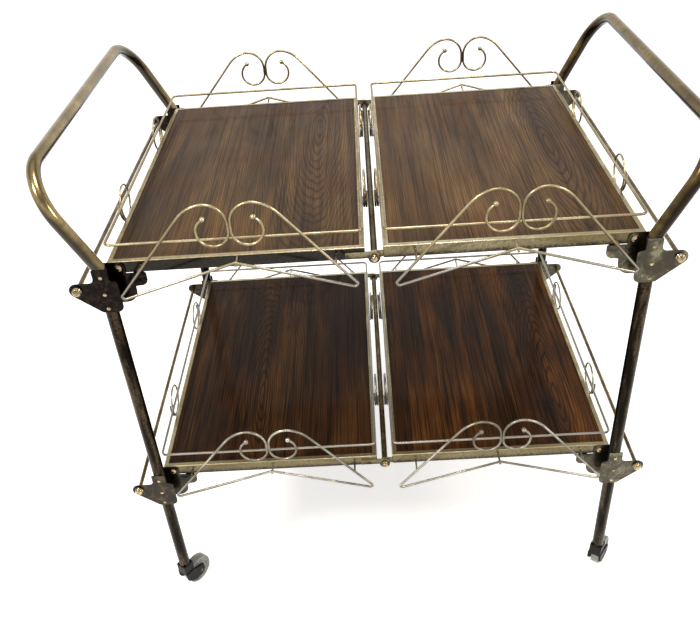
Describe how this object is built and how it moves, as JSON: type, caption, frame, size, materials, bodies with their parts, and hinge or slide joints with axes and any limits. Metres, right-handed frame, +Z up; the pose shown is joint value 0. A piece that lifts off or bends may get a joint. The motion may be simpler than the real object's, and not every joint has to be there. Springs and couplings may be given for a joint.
{
  "type": "folding tea trolley",
  "caption": "Folding tea trolley with two tiers of hinged wood-grain trays, wire galleries with scrolls, a leaning tube handle at each end and swivel casters.",
  "frame": {"origin": "on the floor under the middle of the trolley", "axes": "+X to the right end, +Y to the back, +Z up"},
  "size_m": [0.862, 0.6004, 0.803],
  "materials": {
    "handle_tube": "brass plate gone olive, semi-bright",
    "leg_tube": "darkened brass plate, semi-bright",
    "bracket": "darkened brass plate, dull and worn",
    "rod": "brass plate, semi-bright",
    "nut": "brass plate, bright",
    "rail": "brass plate, worn",
    "wire": "pale brass plate, bright",
    "panel": "walnut-figured board, semi-gloss",
    "caster_metal": "dark bronze, dull",
    "wheel_plastic": "clouded plastic"
  },
  "bodies": {
    "left_end": {"leg_left_front": "leg_tube", "leg_left_rear": "leg_tube", "handle_left": "handle_tube", "rod_nuts_left": "nut", "pivot_pins_left": "bracket", "outer_plates_upper_left": "bracket", "inner_plates_upper_left": "bracket", "tie_rod_upper_left": "rod", "outer_plates_lower_left": "bracket", "inner_plates_lower_left": "bracket", "tie_rod_lower_left": "rod"},
    "right_end": {"leg_right_front": "leg_tube", "leg_right_rear": "leg_tube", "handle_right": "handle_tube", "rod_nuts_right": "nut", "pivot_pins_right": "bracket", "outer_plates_upper_right": "bracket", "inner_plates_upper_right": "bracket", "tie_rod_upper_right": "rod", "outer_plates_lower_right": "bracket", "inner_plates_lower_right": "bracket", "tie_rod_lower_right": "rod"},
    "tray_upper_left": {"frame_upper_left": "rail", "board_upper_left": "panel", "gallery_upper_left": "wire", "straps_upper_left": "bracket", "scroll_upper_left_front": "wire", "scroll_upper_left_rear": "wire", "centre_rod_upper": "rod", "centre_nuts_upper": "nut"},
    "tray_upper_right": {"frame_upper_right": "rail", "board_upper_right": "panel", "gallery_upper_right": "wire", "straps_upper_right": "bracket", "scroll_upper_right_front": "wire", "scroll_upper_right_rear": "wire"},
    "tray_lower_left": {"frame_lower_left": "rail", "board_lower_left": "panel", "gallery_lower_left": "wire", "straps_lower_left": "bracket", "scroll_lower_left_front": "wire", "scroll_lower_left_rear": "wire", "centre_rod_lower": "rod", "centre_nuts_lower": "nut"},
    "tray_lower_right": {"frame_lower_right": "rail", "board_lower_right": "panel", "gallery_lower_right": "wire", "straps_lower_right": "bracket", "scroll_lower_right_front": "wire", "scroll_lower_right_rear": "wire"},
    "swivel_left_front": {"caster_fork_left_front": "caster_metal"},
    "wheel_left_front": {"caster_wheel_left_front": "wheel_plastic"},
    "swivel_left_rear": {"caster_fork_left_rear": "caster_metal"},
    "wheel_left_rear": {"caster_wheel_left_rear": "wheel_plastic"},
    "swivel_right_front": {"caster_fork_right_front": "caster_metal"},
    "wheel_right_front": {"caster_wheel_right_front": "wheel_plastic"},
    "swivel_right_rear": {"caster_fork_right_rear": "caster_metal"},
    "wheel_right_rear": {"caster_wheel_right_rear": "wheel_plastic"}
  },
  "joints": [
    {"name": "fold", "type": "hinge", "parent": "left_end", "child": "tray_upper_left", "pos_m": [-0.336, 0, 0.659], "axis": [0, -1, 0], "range_deg": [0, 75]},
    {"name": "centre_pivot_upper", "type": "hinge", "parent": "tray_upper_left", "child": "tray_upper_right", "pos_m": [0, 0, 0.6525], "axis": [0, -1, 0], "range_deg": [-150, 0]},
    {"name": "right_pivot_upper", "type": "hinge", "parent": "tray_upper_right", "child": "right_end", "pos_m": [0.336, 0, 0.659], "axis": [0, -1, 0], "range_deg": [0, 75]},
    {"name": "left_pivot_lower", "type": "hinge", "parent": "left_end", "child": "tray_lower_left", "pos_m": [-0.336, 0, 0.279], "axis": [0, -1, 0], "range_deg": [0, 75]},
    {"name": "right_pivot_lower", "type": "hinge", "parent": "right_end", "child": "tray_lower_right", "pos_m": [0.336, 0, 0.279], "axis": [0, -1, 0], "range_deg": [-75, 0]},
    {"name": "swivel_left_front", "type": "hinge", "parent": "left_end", "child": "swivel_left_front", "pos_m": [-0.356, -0.28, 0.07], "axis": [0, 0, 1], "continuous": true},
    {"name": "roll_left_front", "type": "hinge", "parent": "swivel_left_front", "child": "wheel_left_front", "pos_m": [-0.34338, -0.26198, 0.025], "axis": [-0.8192, 0.5736, 0], "continuous": true},
    {"name": "swivel_left_rear", "type": "hinge", "parent": "left_end", "child": "swivel_left_rear", "pos_m": [-0.356, 0.28, 0.07], "axis": [0, 0, 1], "continuous": true},
    {"name": "roll_left_rear", "type": "hinge", "parent": "swivel_left_rear", "child": "wheel_left_rear", "pos_m": [-0.34338, 0.26198, 0.025], "axis": [0.8192, 0.5736, 0], "continuous": true},
    {"name": "swivel_right_front", "type": "hinge", "parent": "right_end", "child": "swivel_right_front", "pos_m": [0.356, -0.28, 0.07], "axis": [0, 0, 1], "continuous": true},
    {"name": "roll_right_front", "type": "hinge", "parent": "swivel_right_front", "child": "wheel_right_front", "pos_m": [0.36862, -0.26198, 0.025], "axis": [-0.8192, 0.5736, 0], "continuous": true},
    {"name": "swivel_right_rear", "type": "hinge", "parent": "right_end", "child": "swivel_right_rear", "pos_m": [0.356, 0.28, 0.07], "axis": [0, 0, 1], "continuous": true},
    {"name": "roll_right_rear", "type": "hinge", "parent": "swivel_right_rear", "child": "wheel_right_rear", "pos_m": [0.36862, 0.26198, 0.025], "axis": [0.8192, 0.5736, 0], "continuous": true}
  ],
  "couplings": [
    {"joint": "centre_pivot_upper", "follows": "fold", "ratio": -2},
    {"joint": "right_pivot_upper", "follows": "fold", "ratio": 1},
    {"joint": "left_pivot_lower", "follows": "fold", "ratio": 1},
    {"joint": "right_pivot_lower", "follows": "fold", "ratio": -1}
  ]
}
